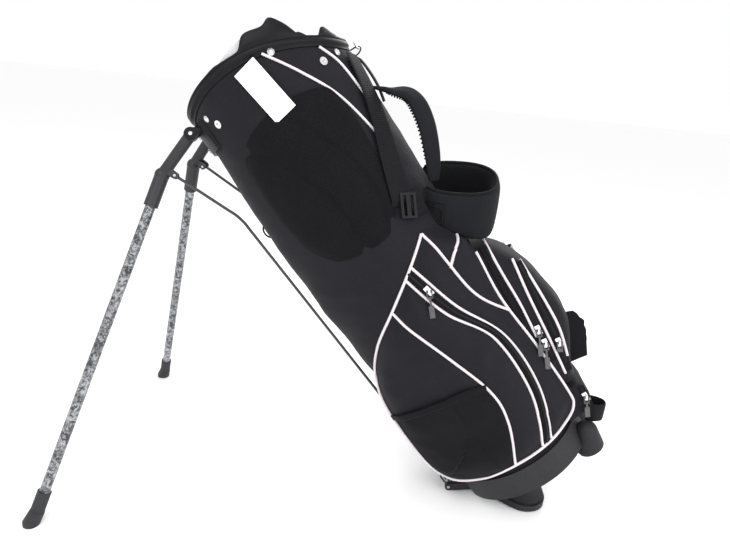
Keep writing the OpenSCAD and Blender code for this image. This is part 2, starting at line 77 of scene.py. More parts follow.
def wall(th, s, off=0.0):
    """Point on the oval tube, pushed out by off. The angle is in degrees: 0 is the spine, -90 the near side."""
    th, s, off = np.broadcast_arrays(np.radians(np.asarray(th, float)), np.asarray(s, float), off)
    a = radius(s)
    nx, ny = OVAL * np.cos(th), np.sin(th)
    n = np.sqrt(nx * nx + ny * ny)
    return np.stack([a * np.cos(th) + off * nx / n, a * OVAL * np.sin(th) + off * ny / n, s], -1)


def seam(th):
    """Height of the cuff seam at an angle."""
    t = TOP_R * np.cos(np.radians(np.asarray(th, float)))
    return SEAM_S + np.sqrt(SEAM_R ** 2 - (t - SEAM_T) ** 2)


def ripple(u, v, size, seed, n=14):
    """Smooth seeded unevenness, about -1 to 1."""
    rng = np.random.default_rng(seed)
    out = np.zeros(np.broadcast(u, v).shape)
    for _ in range(n):
        a, k, ph = rng.uniform(0, math.pi), rng.uniform(0.6, 1.7) * 2 * math.pi / size, rng.uniform(0, 6.28)
        out = out + np.sin(k * (np.cos(a) * u + np.sin(a) * v) + ph)
    return out / math.sqrt(n)


def smooth(pts, per=10, closed=False):
    """Catmull-Rom curve through points."""
    p = np.asarray(pts, float)
    if closed:
        p = np.vstack([p[-1], p, p[0], p[1]])
    else:
        p = np.vstack([2 * p[0] - p[1], p, 2 * p[-1] - p[-2]])
    out = []
    for i in range(1, len(p) - 2):
        for k in range(per):
            x = k / per
            out.append(0.5 * (2 * p[i] + (p[i + 1] - p[i - 1]) * x
                              + (2 * p[i - 1] - 5 * p[i] + 4 * p[i + 1] - p[i + 2]) * x * x
                              + (3 * p[i] - p[i - 1] - 3 * p[i + 1] + p[i + 2]) * x ** 3))
    if not closed:
        out.append(p[-2])
    return np.array(out)


def resample(p, n):
    d = np.concatenate([[0], np.cumsum(np.linalg.norm(np.diff(p, axis=0), axis=1))])
    x = np.linspace(0, d[-1], n)
    return np.stack([np.interp(x, d, p[:, k]) for k in range(p.shape[1])], 1)


def dist_to(u, v, line):
    """Distance in millimetres from wall coordinates to a polyline given as (angle, s)."""
    line = np.asarray(line, float)
    pu, pv = np.asarray(u, float) * DEG, np.asarray(v, float)
    best = np.full(np.broadcast(pu, pv).shape, 1e9)
    for a, b in zip(line[:-1], line[1:]):
        ax, ay, bx, by = a[0] * DEG, a[1], b[0] * DEG, b[1]
        dx, dy = bx - ax, by - ay
        k = np.clip(((pu - ax) * dx + (pv - ay) * dy) / max(dx * dx + dy * dy, 1e-9), 0, 1)
        best = np.minimum(best, np.hypot(pu - ax - k * dx, pv - ay - k * dy))
    return best


def inside(u, v, poly):
    poly = np.asarray(poly, float)
    hit = np.zeros(np.broadcast(u, v).shape, bool)
    for (x0, y0), (x1, y1) in zip(poly, np.roll(poly, -1, axis=0)):
        if y0 != y1:
            cross = (y0 > v) != (y1 > v)
            hit ^= cross & (u < (x1 - x0) * (v - y0) / (y1 - y0) + x0)
    return hit


def puff(d, w):
    return 1 - np.exp(-(np.maximum(d, 0) / w) ** 1.5)


# ---- Materials ----
def new_mat(name):
    m = bpy.data.materials.new(name)
    m.use_nodes = True
    return m, m.node_tree.nodes, m.node_tree.links, m.node_tree.nodes["Principled BSDF"]


def node(nodes, kind, **values):
    n = nodes.new(kind)
    for k, v in values.items():
        if k in n.inputs:
            n.inputs[k].default_value = v
        else:
            setattr(n, k, v)
    return n


def mix_color(nodes, links, factor, a, b):
    m = nodes.new("ShaderNodeMix")
    m.data_type = "RGBA"
    links.new(factor, m.inputs["Factor"])
    for sock, value in ((m.inputs["A"], a), (m.inputs["B"], b)):
        if isinstance(value, tuple):
            sock.default_value = (*value, 1)
        else:
            links.new(value, sock)
    return m.outputs["Result"]


def math_node(nodes, links, op, a, b=0.0):
    m = nodes.new("ShaderNodeMath")
    m.operation = op
    for i, value in enumerate((a, b)):
        if isinstance(value, (int, float)):
            m.inputs[i].default_value = value
        else:
            links.new(value, m.inputs[i])
    return m.outputs[0]


def bump(nodes, links, bsdf, height, strength, distance):
    b = node(nodes, "ShaderNodeBump", Strength=strength, Distance=distance)
    links.new(height, b.inputs["Height"])
    links.new(b.outputs["Normal"], bsdf.inputs["Normal"])


def fabric(name, dark, light, pitch, kind="plain", rough=0.78, sheen=0.25, depth=0.0004, uv=True, spec=0.1):
    """Woven cloth. pitch is the thread spacing in millimetres; kind is plain, mesh or webbing."""
    m, nodes, links, bsdf = new_mat(name)
    coord = nodes.new("ShaderNodeTexCoord")
    src = coord.outputs["UV" if uv else "Object"]
    scale = node(nodes, "ShaderNodeVectorMath", operation="SCALE")
    links.new(src, scale.inputs[0])
    scale.inputs["Scale"].default_value = (1.0 if uv else 1000.0) / pitch
    sep = nodes.new("ShaderNodeSeparateXYZ")
    links.new(scale.outputs[0], sep.inputs[0])
    if kind == "mesh":
        cell = node(nodes, "ShaderNodeTexVoronoi", feature="F1", Scale=1.0, Randomness=0.25)
        links.new(scale.outputs[0], cell.inputs["Vector"])
        height = math_node(nodes, links, "SMOOTH_MIN", cell.outputs["Distance"], 0.55)
    else:
        wu = math_node(nodes, links, "SINE", math_node(nodes, links, "MULTIPLY", sep.outputs[0], math.pi))
        wv = math_node(nodes, links, "SINE", math_node(nodes, links, "MULTIPLY", sep.outputs[1], math.pi))
        if kind == "webbing":
            height = math_node(nodes, links, "ADD", math_node(nodes, links, "MULTIPLY", wu, 0.7),
                               math_node(nodes, links, "MULTIPLY", wv, 0.3))
        else:
            height = math_node(nodes, links, "MULTIPLY", wu, wv)
        height = math_node(nodes, links, "ADD", math_node(nodes, links, "MULTIPLY", height, 0.5), 0.5)
    big = node(nodes, "ShaderNodeTexNoise", Scale=14.0, Detail=5.0, Roughness=0.6)
    links.new(coord.outputs["Object"], big.inputs["Vector"])
    fine = node(nodes, "ShaderNodeTexNoise", Scale=420.0, Detail=2.0)
    links.new(coord.outputs["Object"], fine.inputs["Vector"])
    shade = math_node(nodes, links, "MULTIPLY", height, big.outputs["Fac"])
    shade = math_node(nodes, links, "ADD", shade, math_node(nodes, links, "MULTIPLY", fine.outputs["Fac"], 0.35))
    links.new(mix_color(nodes, links, shade, dark, light), bsdf.inputs["Base Color"])
    r = math_node(nodes, links, "ADD", math_node(nodes, links, "MULTIPLY", big.outputs["Fac"], 0.16), rough - 0.08)
    links.new(r, bsdf.inputs["Roughness"])
    bsdf.inputs["Specular IOR Level"].default_value = spec
    bsdf.inputs["Sheen Weight"].default_value = sheen * 0.1
    bsdf.inputs["Sheen Roughness"].default_value = 0.45
    total = math_node(nodes, links, "ADD", height, math_node(nodes, links, "MULTIPLY", fine.outputs["Fac"], 0.5))
    bump(nodes, links, bsdf, total, 0.55, depth)
    return m


def solid(name, dark, light, rough=0.45, metal=0.0, grain=260.0, depth=0.00015, coat=0.0, spec=0.5):
    """Moulded plastic, rubber or metal with a fine grain, uneven tone and convex edges painted lighter as a painted
    edge highlight.
    """
    m, nodes, links, bsdf = new_mat(name)
    coord = nodes.new("ShaderNodeTexCoord")
    big = node(nodes, "ShaderNodeTexNoise", Scale=22.0, Detail=6.0, Roughness=0.65)
    fine = node(nodes, "ShaderNodeTexNoise", Scale=grain, Detail=3.0)
    for n in (big, fine):
        links.new(coord.outputs["Object"], n.inputs["Vector"])
    edge = nodes.new("ShaderNodeNewGeometry")
    # Convex edges (high pointiness) painted lighter: a painted edge highlight mixed into the colour
    painted_edge_highlight = node(nodes, "ShaderNodeMapRange", **{"From Min": 0.5, "From Max": 0.62})
    links.new(edge.outputs["Pointiness"], painted_edge_highlight.inputs["Value"])
    tone = math_node(nodes, links, "MULTIPLY", painted_edge_highlight.outputs[0], 0.4)
    tone = math_node(nodes, links, "ADD", big.outputs["Fac"], tone)
    tone = math_node(nodes, links, "MULTIPLY", tone, math_node(nodes, links, "ADD", fine.outputs["Fac"], 0.5))
    links.new(mix_color(nodes, links, tone, dark, light), bsdf.inputs["Base Color"])
    r = math_node(nodes, links, "ADD", math_node(nodes, links, "MULTIPLY", big.outputs["Fac"], 0.22), rough - 0.11)
    links.new(r, bsdf.inputs["Roughness"])
    bsdf.inputs["Metallic"].default_value = metal
    bsdf.inputs["Coat Weight"].default_value = coat
    bsdf.inputs["Specular IOR Level"].default_value = spec
    bump(nodes, links, bsdf, fine.outputs["Fac"], 0.35, depth)
    return m


def mottled(name):
    """Leg tube: dark anodised metal under a mottled silver pattern, partly the leg's own print and partly painted
    highlights of its crinkled clear wrap.
    """
    m, nodes, links, bsdf = new_mat(name)
    coord = nodes.new("ShaderNodeTexCoord")
    noise = node(nodes, "ShaderNodeTexNoise", Scale=95.0, Detail=7.0, Roughness=0.75, Distortion=1.6)
    fine = node(nodes, "ShaderNodeTexNoise", Scale=600.0, Detail=2.0)
    for n in (noise, fine):
        links.new(coord.outputs["Object"], n.inputs["Vector"])
    # Silver patches: partly the leg's mottled print, partly painted highlights standing in for the crinkled clear
    # wrap
    ramp = nodes.new("ShaderNodeValToRGB")
    ramp.color_ramp.elements[0].position = 0.44
    ramp.color_ramp.elements[0].color = (0.035, 0.036, 0.04, 1)
    ramp.color_ramp.elements[1].position = 0.60
    ramp.color_ramp.elements[1].color = (0.42, 0.43, 0.45, 1)
    links.new(noise.outputs["Fac"], ramp.inputs["Fac"])
    links.new(ramp.outputs["Color"], bsdf.inputs["Base Color"])
    r = math_node(nodes, links, "ADD", math_node(nodes, links, "MULTIPLY", noise.outputs["Fac"], 0.3), 0.2)
    links.new(r, bsdf.inputs["Roughness"])
    bsdf.inputs["Metallic"].default_value = 0.55
    bsdf.inputs["Coat Weight"].default_value = 0.3
    bump(nodes, links, bsdf, fine.outputs["Fac"], 0.2, 0.0001)
    return m


MAT = {
    "nylon": fabric("nylon", (0.004, 0.004, 0.006), (0.019, 0.0188, 0.024), 1.1, rough=0.62, sheen=0.3),
    "mesh": fabric("air_mesh", (0.001, 0.001, 0.0015), (0.015, 0.015, 0.018), 3.0, kind="mesh", depth=0.0012,
                   spec=0.07),
    "tight_mesh": fabric("pocket_mesh", (0.0015, 0.0015, 0.002), (0.017, 0.017, 0.020), 2.4, kind="mesh",
                         depth=0.0008, spec=0.08),
    "webbing": fabric("webbing", (0.002, 0.002, 0.003), (0.014, 0.014, 0.017), 1.6, kind="webbing", rough=0.6,
                      spec=0.08),
    "pad": fabric("strap_pad", (0.003, 0.003, 0.004), (0.020, 0.0205, 0.025), 1.4, rough=0.8),
    "piping": fabric("piping", (0.52, 0.47, 0.49), (0.86, 0.80, 0.83), 1.2, rough=0.5, sheen=0.1, depth=0.0002),
    "liner": fabric("liner", (0.50, 0.50, 0.51), (0.80, 0.80, 0.81), 2.2, kind="mesh", depth=0.0006),
    "divider": fabric("divider_felt", (0.20, 0.20, 0.21), (0.42, 0.42, 0.43), 1.4, uv=False),
    "moulded": solid("moulded", (0.002, 0.002, 0.003), (0.012, 0.0118, 0.014), rough=0.45, grain=520.0, spec=0.13),
    "elbow": solid("elbow", (0.007, 0.007, 0.008), (0.028, 0.028, 0.032), rough=0.5, grain=700.0, spec=0.38),
    "boot_rubber": solid("boot_rubber", (0.006, 0.006, 0.007), (0.023, 0.0225, 0.026), rough=0.55, grain=300.0,
                         spec=0.2),
    "foot_rubber": solid("foot_rubber", (0.008, 0.008, 0.009), (0.036, 0.036, 0.04), rough=0.6, spec=0.3),
    "leg_tube": mottled("leg_print_and_painted_highlights"),
    "rod_steel": solid("rod_coating", (0.010, 0.010, 0.011), (0.06, 0.06, 0.064), rough=0.38, metal=0.3),
    "stay": solid("stay_rod", (0.03, 0.03, 0.034), (0.09, 0.09, 0.1), rough=0.5),
    "steel": solid("plain_steel", (0.20, 0.20, 0.21), (0.55, 0.55, 0.57), rough=0.35, metal=0.9),
    "bright": solid("plated", (0.42, 0.41, 0.42), (0.86, 0.85, 0.87), rough=0.22, metal=1.0, depth=0.00005),
    "pull": solid("pull_rubber", (0.02, 0.02, 0.022), (0.085, 0.085, 0.09), rough=0.55),
    "label": solid("label_film", (0.70, 0.70, 0.72), (0.95, 0.95, 0.96), rough=0.35, depth=0.00003),
    "floor": solid("floor_paper", (0.96, 0.96, 0.96), (0.985, 0.985, 0.985), rough=0.9, spec=0.2),
    "dark": fabric("binding", (0.0015, 0.0015, 0.002), (0.009, 0.009, 0.011), 1.3, kind="webbing", rough=0.7),
}

SLOT = {r["node"]: r["material_slot"] for r in frame["record"]["subparts"]}
CAD_LOOK = {"elbow_near": "elbow", "elbow_far": "elbow"}
for name, ob in NODES.items():
    ob.data.materials.clear()
    ob.data.materials.append(MAT[CAD_LOOK.get(name, SLOT[name] if SLOT[name] in MAT else "moulded")])


# ---- Mesh builders ----
def build(name, verts, faces, mat, body="bag", uv=None, cad=None, slot=None):
    """A mesh from bag-frame millimetres, riding on a body."""
    me = bpy.data.meshes.new(name)
    v = np.asarray(verts, float)
    me.from_pydata(row(v).tolist(), [], faces)
    me.validate()
    ob = bpy.data.objects.new(name, me)
    bpy.context.scene.collection.objects.link(ob)
    me.materials.append(MAT[mat])
    me.polygons.foreach_set("use_smooth", [True] * len(me.polygons))
    me.set_sharp_from_angle(angle=math.radians(58))
    if uv is not None:
        layer = me.uv_layers.new(name="uv")
        idx = np.zeros(len(me.loops), int)
        me.loops.foreach_get("vertex_index", idx)
        layer.data.foreach_set("uv", np.asarray(uv, float)[idx].ravel())
    if body:
        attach(ob, body)
    if cad:
        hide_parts(*([cad] if isinstance(cad, str) else cad))
    return ob


def grid_faces(nu, nv, wrap_u=False, wrap_v=False, base=0):
    out = []
    for i in range(nu if wrap_u else nu - 1):
        for j in range(nv if wrap_v else nv - 1):
            i1, j1 = (i + 1) % nu, (j + 1) % nv
            out.append((base + i * nv + j, base + i1 * nv + j, base + i1 * nv + j1, base + i * nv + j1))
    return out


def frames(path, hint):
    """Tangent, side and normal vectors along a path; hint is the wanted normal (one vector or one a point)."""
    t = np.gradient(path, axis=0)
    t /= np.linalg.norm(t, axis=1)[:, None]
    n = np.broadcast_to(np.asarray(hint, float), path.shape).copy()
    n -= (n * t).sum(1)[:, None] * t
    n /= np.linalg.norm(n, axis=1)[:, None]
    return t, np.cross(t, n), n


def sweep(name, path, hint, section, mat, closed=False, scale=None, body="bag", **kw):
    """Sweeps a closed section (side, normal) along a path. scale gives (side, normal) factors a point."""
    path = np.asarray(path, float)
    t, side, n = frames(path, hint)
    sec = np.asarray(section, float)
    sc = np.ones((len(path), 2)) if scale is None else np.asarray(scale, float)
    pts = (path[:, None] + side[:, None] * (sec[None, :, 0] * sc[:, None, 0])[..., None]
           + n[:, None] * (sec[None, :, 1] * sc[:, None, 1])[..., None])
    nu, nv = len(path), len(sec)
    faces = grid_faces(nu, nv, wrap_u=closed, wrap_v=True)
    if not closed:
        faces += [tuple(range(nv))[::-1], tuple((nu - 1) * nv + k for k in range(nv))]
    length = np.concatenate([[0], np.cumsum(np.linalg.norm(np.diff(path, axis=0), axis=1))])
    around = np.concatenate([[0], np.cumsum(np.linalg.norm(np.diff(sec, axis=0), axis=1))])
    uv = np.stack(np.meshgrid(length, around, indexing="ij"), -1).reshape(-1, 2)
    return build(name, pts.reshape(-1, 3), faces, mat, body=body, uv=uv, **kw)


def circle(r, n=10):
    a = np.linspace(0, 2 * math.pi, n, endpoint=False)
    return np.stack([np.cos(a) * r, np.sin(a) * r], 1)


def band(w, t, n=12, edge=0.35, crown=0.0):
    """Rounded flat section, w wide and t thick, with an optional crowned middle."""
    x = np.linspace(-1, 1, n)
    top = t / 2 * (1 - np.abs(x) ** (2 / edge)) ** edge + crown * (1 - x * x)
    up = np.stack([x * w / 2, np.maximum(top, t * 0.12)], 1)
    x = x[::-1]
    low = np.stack([x * w / 2, -np.maximum(t / 2 * (1 - np.abs(x) ** (2 / edge)) ** edge, t * 0.12)], 1)
    return np.vstack([up, low])


def join(name, obs):
    """Joins objects into the first one."""
    bpy.ops.object.select_all(action="DESELECT")
    for o in obs:
        o.select_set(True)
    bpy.context.view_layer.objects.active = obs[0]
    bpy.ops.object.join()
    obs[0].name = name
    return obs[0]


# ---- Lines on the near wall, as (angle, height), each a smooth curve through a few points ----
PIPING_R = 2.3
# Side pocket outline: angle, height, how far its edge stands off the tube
POCKET = [(-21, 430, 6), (-34, 455, 3), (-52, 471, 1), (-70, 443, 1), (-101, 395, 2), (-130, 350, 7),
          (-146, 305, 21), (-149, 245, 38), (-149, 130, 41), (-145, 76, 29), (-122, 60, 12), (-90, 64, 10),
          (-45, 65, 11), (-29, 82, 28), (-27, 115, 32), (-28, 210, 28), (-30, 310, 21), (-27, 395, 22)]
P2 = [(-52, 471), (-47, 355), (-30, 286)]
P3 = [(-27, 433), (-43, 420), (-51, 404)]
P4 = [(-72, 440), (-62, 352), (-44, 260), (-43, 160), (-56, 67)]
P5 = [(-80, 428), (-70, 350), (-52, 270), (-51, 160), (-65, 67)]
P6 = [(-101, 395), (-85, 285), (-75, 200), (-77, 140), (-90, 65)]
BOTTLE_TOP = [(-148, 229), (-122, 233), (-92, 230), (-76, 216)]
PIPING_A = [(-74, 806), (-60, 757), (-46, 700), (-36, 625)]
PIPING_B = [(-39, 774), (-30, 740), (-25, 686)]
HIP = [(-57, 728), (-87, 738), (-121, 716), (-135, 650), (-134, 565), (-117, 513), (-85, 496), (-62, 512),
       (-50, 575), (-46, 650), (-48, 705)]
HIP_SEAMS = [smooth([(-86, 730), (-72, 660), (-63, 580), (-66, 498)], 10),
             smooth([(-122, 718), (-108, 690), (-98, 640), (-90, 580), (-90, 498)], 10)]
HIP_LOOP = smooth(HIP + HIP[:1], 5)
POCKET_SEAMS = [smooth(c, 10) for c in (P2, P4, P5, P6)]
POCKET_LOOP = smooth(POCKET, 8, closed=True)
POCKET_LOOP = np.vstack([POCKET_LOOP, POCKET_LOOP[:1]])


def pocket_height(th, s):
    """How far the side pocket stands over the tube wall."""
    th, s = np.broadcast_arrays(np.asarray(th, float), np.asarray(s, float))
    d = np.full(th.shape, 1e9)
    lift = np.zeros(th.shape)
    pu = th * DEG
    for a, b in zip(POCKET_LOOP[:-1], POCKET_LOOP[1:]):
        dx, dy = (b[0] - a[0]) * DEG, b[1] - a[1]
        k = np.clip(((pu - a[0] * DEG) * dx + (s - a[1]) * dy) / max(dx * dx + dy * dy, 1e-9), 0, 1)
        e = np.hypot(pu - a[0] * DEG - k * dx, s - a[1] - k * dy)
        near = e < d
        d = np.where(near, e, d)
        lift = np.where(near, a[2] + k * (b[2] - a[2]), lift)
    reach = np.where(th < -100, 36.0, 20.0)
    h = PILLOW * puff(d, 19) + lift * np.exp(-(d / reach) ** 1.15)
    crease = np.full(h.shape, 1e9)
    for line in POCKET_SEAMS:
        crease = np.minimum(crease, dist_to(th, s, line))
    both = np.minimum(crease, d)
    h = h - 3.0 * np.exp(-(crease / 5.5) ** 2) * puff(d, 10) + 2.6 * puff(both, 20)
    h = h + puff(both, 16) * (1.1 * ripple(th * DEG, s, 120, 3) + 0.5 * ripple(th * DEG, s, 45, 4))
    # Soft diagonal folds in the middle panel
    fold = np.exp(-((th + 62) / 12) ** 2 - ((s - 250) / 70) ** 2) * puff(crease, 16)
    h = h + 1.8 * fold * np.sin((s * 0.8 - th * 1.9) / 8.5)
    return np.where(inside(th, s, POCKET_LOOP[:, :2]) | (d < 6), h, 0.0)


def on_skin(line, lift, side):
    """Points of a smooth line that lies on the side pocket or the tube."""
    p = smooth(line, 16)
    return wall(p[:, 0] * -side, p[:, 1], pocket_height(p[:, 0], p[:, 1]) + lift)


def outward(path):
    """Outward direction of the tube wall near bag points."""
    n = np.stack([path[:, 0] * OVAL, path[:, 1] / OVAL, np.zeros(len(path))], 1)
    return n / np.linalg.norm(n, axis=1)[:, None]


def piping(name, line, side=-1, r=PIPING_R, lift=1.2):
    p = on_skin(line, lift, side)
    return sweep(name, p, outward(p), circle(r), "piping")


# ---- Tube fabric ----
def belly(th, s):
    """Slack of the fabric on the leg side, between the cuff and the pockets."""
    hang = 17 * np.exp(-(np.abs(s - 450) / 250) ** 2.6) * np.clip((790 - s) / 120, 0, 1)
    return hang * np.exp(-((np.abs(th) - 165) / 34) ** 2)


def tube_fabric():
    th = np.linspace(-180, 180, 301)[:-1]
    v = np.linspace(0, 1, 240)
    T, V = np.meshgrid(th, v, indexing="ij")
    S = 30 + V * (seam(T) + 3 - 30)
    off = 0.35 * ripple(T * DEG, S, 160, 1) + 0.25 * ripple(T * DEG, S, 50, 2)
    off = off + belly(T, S)
    # Sagging folds on the leg side and under the hip pad
    under = np.exp(-((np.abs(np.abs(T) - 150) / 34) ** 2)) * np.exp(-((S - 420) / 120) ** 2)
    off = off + under * 2.2 * np.sin((S * 0.9 + np.abs(T) * 1.7) / 17)
    near = np.exp(-((T + 95) / 45) ** 2) * np.exp(-((S - 455) / 28) ** 2)
    off = off + near * 2.0 * np.sin((S + 0.8 * T) / 9)
    for line in (PIPING_A, PIPING_B):
        d = dist_to(-np.abs(T), S, smooth(line, 5))
        off = off - 1.0 * np.exp(-(d / 5) ** 2)
    off = np.where(V > 0.985, off - 1.5, off)
    P = wall(T, S, off + 0.4)
    uv = np.stack([T * DEG, S], -1).reshape(-1, 2)
    return build("tube_fabric", P.reshape(-1, 3), grid_faces(len(th), len(v), wrap_u=True), "nylon",
                 uv=uv, cad="body_shell", slot="nylon")


def patch(name, poly, centre, height, mat, nr=60, per=7, tuck=2.0, side=-1, cad=None, slot=None):
    """A sewn panel over the wall inside a closed outline, from a centre outwards. height(angle, s) gives its lift."""
    loop = smooth(poly, per, closed=True)
    edge = resample(np.vstack([loop, loop[:1]]), 261)[:-1]
    r = 1 - (1 - np.linspace(0, 1, nr)) ** 1.35
    c = np.array(centre, float)
    Q = c + (edge[:, None] - c) * np.maximum(r, 0.004)[None, :, None]
    h = height(Q[..., 0], Q[..., 1])
    P = wall(Q[..., 0] * -side, Q[..., 1], h)
    rim = wall(edge[:, 0] * -side, edge[:, 1], -tuck)
    P = np.concatenate([P, rim[:, None]], 1)
    uv = np.concatenate([Q, edge[:, None]], 1).reshape(-1, 2) * [DEG, 1]
    n, m = len(edge), nr + 1
    faces = grid_faces(n, m, wrap_u=True)
    faces.append(tuple(i * m for i in range(n)))
    # The far side is a mirror image, so its faces turn over
    if side == 1:
        faces = [f[::-1] for f in faces]
    return build(name, P.reshape(-1, 3), faces, mat, uv=uv, cad=cad, slot=slot)


tube_fabric()
for side, tag, rings in ((-1, "near", 110), (1, "far", 80)):
    patch(f"side_pocket_{tag}_cloth", [p[:2] for p in POCKET], (-90, 230), pocket_height, "nylon", nr=rings,
          side=side, cad=f"side_pocket_{tag}", slot="nylon")


def hip_height(th, s):
    d = dist_to(th, s, HIP_LOOP)
    crease = np.minimum(*[dist_to(th, s, line) for line in HIP_SEAMS])
    h = 1.0 + 6.0 * puff(d, 12) - 3.2 * np.exp(-(crease / 6.0) ** 2) + 1.6 * puff(crease, 26)
    return h + puff(d, 20) * (0.5 * ripple(th * DEG, s, 90, 6) + 0.25 * ripple(th * DEG, s, 30, 7))


patch("hip_pad_mesh", HIP, (-92, 610), hip_height, "mesh", nr=80, cad="hip_pad", slot="mesh")


def bottle_height(th, s):
    d = dist_to(th, s, smooth(BOTTLE + BOTTLE[:1], 4))
    top = dist_to(th, s, smooth(BOTTLE_TOP, 8))
    base = pocket_height(th, s)
    gape = 4.5 * np.exp(-(top / 60) ** 2) * puff(dist_to(th, s, smooth(BOTTLE_SEWN, 4)), 25)
    folds = 1.3 * np.sin(th * DEG / 11 + 0.6 * ripple(th * DEG, s, 90, 9)) * np.exp(-(top / 45) ** 2)
    return base + 1.5 + gape + puff(d, 12) * (folds + 0.6 * ripple(th * DEG, s, 70, 8))


BOTTLE_SEWN = [(-76, 216), (-76, 150), (-90, 68), (-120, 63), (-143, 80), (-148, 132), (-147, 226)]
BOTTLE = [(-142, 231), (-120, 233), (-90, 229)] + BOTTLE_SEWN
patch("bottle_pocket_mesh", BOTTLE, (-118, 150), bottle_height, "tight_mesh", nr=50, tuck=-6, cad="bottle_pocket",
      slot="mesh")
hem = smooth(BOTTLE_TOP, 14)
hem_path = wall(hem[:, 0], hem[:, 1] - 2, bottle_height(hem[:, 0], hem[:, 1] - 2) + 0.8)
sweep("bottle_pocket_hem", hem_path, outward(hem_path), band(11, 3.2), "dark", slot="webbing")

edge_line = smooth(POCKET[2:], 18)
for side, tag in ((-1, "near"), (1, "far")):
    rim_path = wall(edge_line[:, 0] * -side, edge_line[:, 1], edge_line[:, 2] + 0.6)
    sweep(f"piping_{tag}_P1", rim_path, outward(rim_path), circle(PIPING_R), "piping")
for label, line in (("P2", P2), ("P3", P3), ("P4", P4), ("P5", P5), ("P6", P6)):
    piping("piping_near_" + label, line)
    piping("piping_far_" + label, line, side=1)
for label, line in (("A", PIPING_A), ("B", PIPING_B)):
    piping("piping_near_" + label, line, lift=0.8, r=2.0)
    piping("piping_far_" + label, line, side=1, lift=0.8, r=2.0)

# ---- Ball pocket ----
# Profile: height, depth along t, half width
BALL_S, BALL_T, BALL_W = smooth([(118, 158, 52), (150, 168, 60), (205, 195, 61), (240, 200, 61), (310, 191, 60),
                                 (362, 170, 54), (392, 147, 42)], 8).T
BALL_IN = 96.0


def ball_form(s):
    """Depth, half width and corner sharpness of the ball pocket at a height."""
    at = lambda tab: sum(np.interp(s + d, BALL_S, tab) for d in (-9, -4.5, 0, 4.5, 9)) / 5
    return at(BALL_T), at(BALL_W), 0.22 + 0.2 * np.clip((s - 320) / 70, 0, 1)


def ball_side(t, s):
    """Half width of the ball pocket's skin at a depth t."""
    depth, w, p = ball_form(s)
    ratio = np.clip((t - BALL_IN) / (depth - BALL_IN), 0, 1)
    c = ratio ** (1 / p)
    return w * np.sqrt(np.maximum(1 - c * c, 0)) ** p


def ball_pocket():
    s = np.linspace(BALL_S[0], BALL_S[-1], 110)
    k = np.linspace(-1, 1, 141)
    pts, uv = [], []
    for si in s:
        di, wi, p = ball_form(si)
        ang = k * math.pi / 2
        y = np.sign(np.sin(ang)) * np.abs(np.sin(ang)) ** p * wi
        t = BALL_IN + (di - BALL_IN) * np.abs(np.cos(ang)) ** p * (1 - 0.07 * (y / wi) ** 2)
        t = t + 0.8 * ripple(y, np.full(y.shape, si), 70, 11)
        y = y + 0.5 * ripple(t, np.full(y.shape, si), 60, 12) * np.sign(y)
        pts.append(np.stack([t, y, np.full(y.shape, si)], 1))
        uv.append(np.stack([k * 120, np.full(y.shape, si)], 1))
    P, U = np.array(pts), np.array(uv)
    # Ends pulled down to the tube
    low, high = P[0].copy(), P[-1].copy()
    for cap, ds in ((low, -7), (high, 6)):
        cap[:, 0] = 100 + (cap[:, 0] - 100) * 0.55
        cap[:, 1] *= 0.8
        cap[:, 2] += ds
    P = np.concatenate([low[None], P, high[None]])
    U = np.concatenate([U[:1], U, U[-1:]])
    faces = [f[::-1] for f in grid_faces(len(P), len(k))]
    return build("ball_pocket_cloth", P.reshape(-1, 3), faces, "nylon", uv=U.reshape(-1, 2),
                 cad="ball_pocket", slot="nylon")


ball_pocket()


def gusset(name, line, lift, mat, section, side=-1, **kw):
    """A band or cord on the side of the ball pocket, from (t, s) points."""
    p = smooth([(t, 0, s) for t, s in line], 14)
    y = ball_side(p[:, 0], p[:, 2])
    y = np.convolve(np.pad(y, 3, mode="edge"), np.ones(7) / 7, "valid")
    p[:, 1] = side * (y + lift)
    return sweep(name, p, (0.15, side, 0), section, mat, **kw)


P9 = [(149, 400), (146, 340), (144, 284), (138, 222)]
P10 = [(171, 352), (162, 290), (153, 205), (145, 139)]
P11 = [(180, 341), (179, 270), (175, 215), (163, 166)]
ZIP_A = [(142, 392), (136, 310), (134, 240), (140, 170)]
ZIP_B = [(175, 344), (170, 275), (163, 204), (152, 140)]
COIL_A = [(145, 385), (142, 290), (146, 231), (142, 180)]
COIL_B = [(176, 338), (170, 265), (163, 197), (156, 158)]
for side, tag in ((-1, "near"), (1, "far")):
    for label, line in (("P9", P9), ("P10", P10), ("P11", P11)):
        gusset(f"piping_{tag}_{label}", line, 0.8, "piping", circle(2.2), side)
    for label, line, coil in (("a", ZIP_A, COIL_A), ("b", ZIP_B, COIL_B)):
        gusset(f"zip_band_{tag}_{label}", line, -0.6, "tight_mesh", band(13, 4), side, slot="mesh")
        gusset(f"zip_coil_{tag}_{label}", coil, 0.6, "moulded", band(4.5, 2.4), side, slot="pull")
# The side pocket zip runs midway between P4 and P5
zip_line = smooth((np.array(P4, float) + P5) / 2, 14)
for side, tag in ((-1, "near"), (1, "far")):
    for part, w, up, mat in (("tape", 11, 0.4, "tight_mesh"), ("coil", 4, 2.0, "moulded")):
        q = wall(zip_line[:, 0] * -side, zip_line[:, 1], pocket_height(zip_line[:, 0], zip_line[:, 1]) + up)
        sweep(f"zip_{part}_{tag}", q, outward(q), band(w, 2.2), mat, slot="pull")


